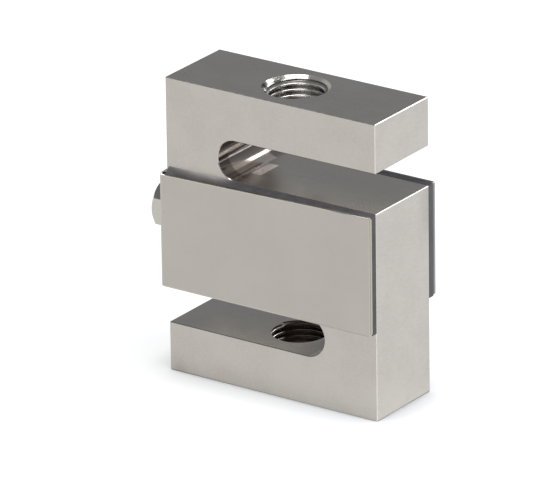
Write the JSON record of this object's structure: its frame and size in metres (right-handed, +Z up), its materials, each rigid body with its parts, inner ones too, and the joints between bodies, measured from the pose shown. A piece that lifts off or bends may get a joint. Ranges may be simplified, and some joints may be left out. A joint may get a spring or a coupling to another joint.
{
  "type": "s type load cell",
  "caption": "S shaped force sensor block with a threaded load hole in each arm, a folded sheet cover sealed round its gauge window and a hexagonal cable inlet on one end.",
  "frame": {"origin": "where the load axis meets the bottom face", "axes": "+Z up the load axis through both load threads, +X towards the end opposite the cable inlet, +Y through the block from the front cover to the rear cover"},
  "size_m": [0.0581, 0.0234, 0.0635],
  "materials": {
    "nickel_steel": "satin nickel plating on steel, finely brushed",
    "cover_steel": "matt stainless sheet",
    "grey_sealant": "soft dark grey silicone",
    "gland_nickel": "turned and nickel plated",
    "seal_rubber": "matt black rubber",
    "washer_steel": "plain steel",
    "gauge_film": "amber polyimide film over a foil grid",
    "tab_copper": "tinned copper on film",
    "wire_insulation": "thin enamel insulation",
    "board_foam": "double sided foam tape",
    "board_laminate": "green solder resist",
    "pin_tin": "tinned",
    "resistor_ceramic": "black glazed ceramic with tinned ends"
  },
  "bodies": {
    "root": {"spring_body": "nickel_steel", "cover_sleeve": "cover_steel", "front_sealant": "grey_sealant", "rear_sealant": "grey_sealant", "gland_screw": "gland_nickel", "sealing_ring": "seal_rubber", "thrust_washer": "washer_steel", "cable_seal": "seal_rubber", "gauge_upper_left": "gauge_film", "gauge_upper_right": "gauge_film", "gauge_lower_left": "gauge_film", "gauge_lower_right": "gauge_film", "tab_upper_left": "tab_copper", "tab_upper_right": "tab_copper", "tab_lower_left": "tab_copper", "tab_lower_right": "tab_copper", "wires_upper_left": "wire_insulation", "wires_upper_right": "wire_insulation", "wires_lower_left": "wire_insulation", "wires_lower_right": "wire_insulation", "board_pad": "board_foam", "terminal_board": "board_laminate", "board_pins": "pin_tin", "zero_resistor": "resistor_ceramic", "span_resistor_front": "resistor_ceramic", "span_resistor_rear": "resistor_ceramic", "output_resistor": "resistor_ceramic"}
  },
  "joints": []
}
